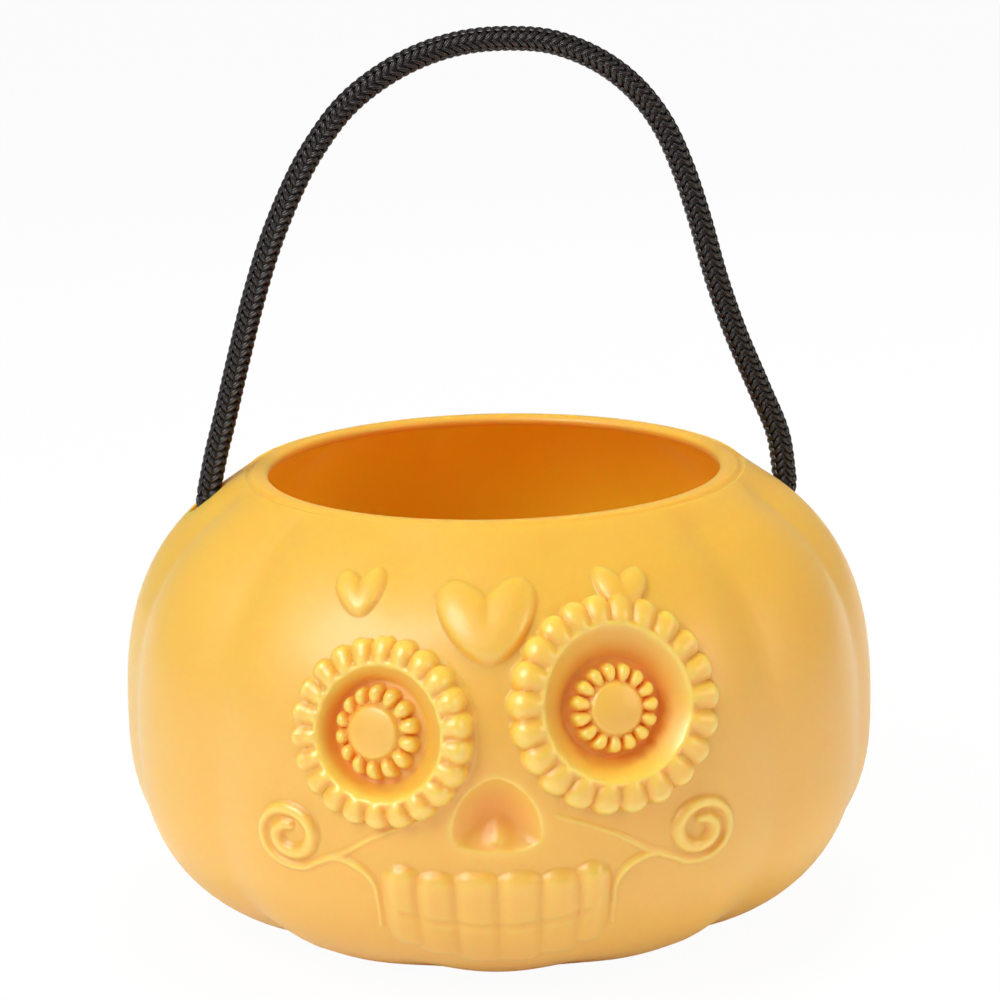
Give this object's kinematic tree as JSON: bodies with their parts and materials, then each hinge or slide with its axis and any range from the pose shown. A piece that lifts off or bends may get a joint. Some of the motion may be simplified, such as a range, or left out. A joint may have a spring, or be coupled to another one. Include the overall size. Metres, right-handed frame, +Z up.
{
  "type": "trick-or-treat bucket",
  "caption": "Round pumpkin-shaped treat bucket with a sugar-skull face in relief, an open mouth and a swinging braided rope handle knotted inside the shell.",
  "frame": {"origin": "middle of the flat base, on the surface that the bucket stands on", "axes": "+Z up through the middle of the mouth, -Y out through the nose of the face, +X towards the bucket's right as seen from the front"},
  "size_m": [0.1948, 0.199, 0.2278],
  "materials": {
    "shell_plastic": "satin",
    "rope_braid": "braided"
  },
  "bodies": {
    "bucket": {"bucket_shell": "shell_plastic", "rope_end_left": "rope_braid", "rope_end_right": "rope_braid"},
    "handle": {"rope_handle": "rope_braid"}
  },
  "joints": [
    {"name": "handle_swing", "type": "hinge", "parent": "bucket", "child": "handle", "pos_m": [0.00104, 0.00504, 0.12029], "axis": [0.9957, 0.0926, 0], "range_deg": [-96, 93]}
  ]
}
